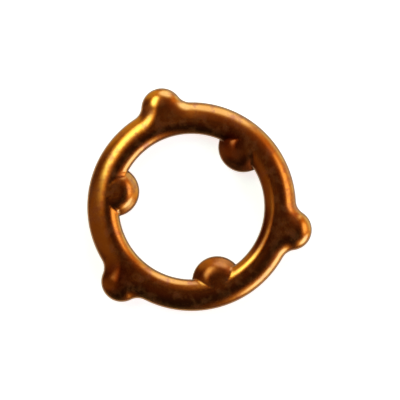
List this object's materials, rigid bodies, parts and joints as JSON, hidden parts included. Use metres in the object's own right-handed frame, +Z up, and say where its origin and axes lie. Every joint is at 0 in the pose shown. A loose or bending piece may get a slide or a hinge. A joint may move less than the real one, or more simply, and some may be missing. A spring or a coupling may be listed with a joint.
{
  "type": "injector seal ring",
  "caption": "Flat copper ring with rounded noses outside that centre it in a bore and rounded lobes inside that grip an injector's tip.",
  "frame": {"origin": "centre of the ring, on its lower sealing face", "axes": "+Z up along the ring's axis, out of the upper sealing face; +X through the tip of one outer nose"},
  "size_m": [0.0203, 0.0196, 0.0024],
  "materials": {
    "copper": "polished"
  },
  "bodies": {
    "root": {"seal_ring": "copper"}
  },
  "joints": []
}
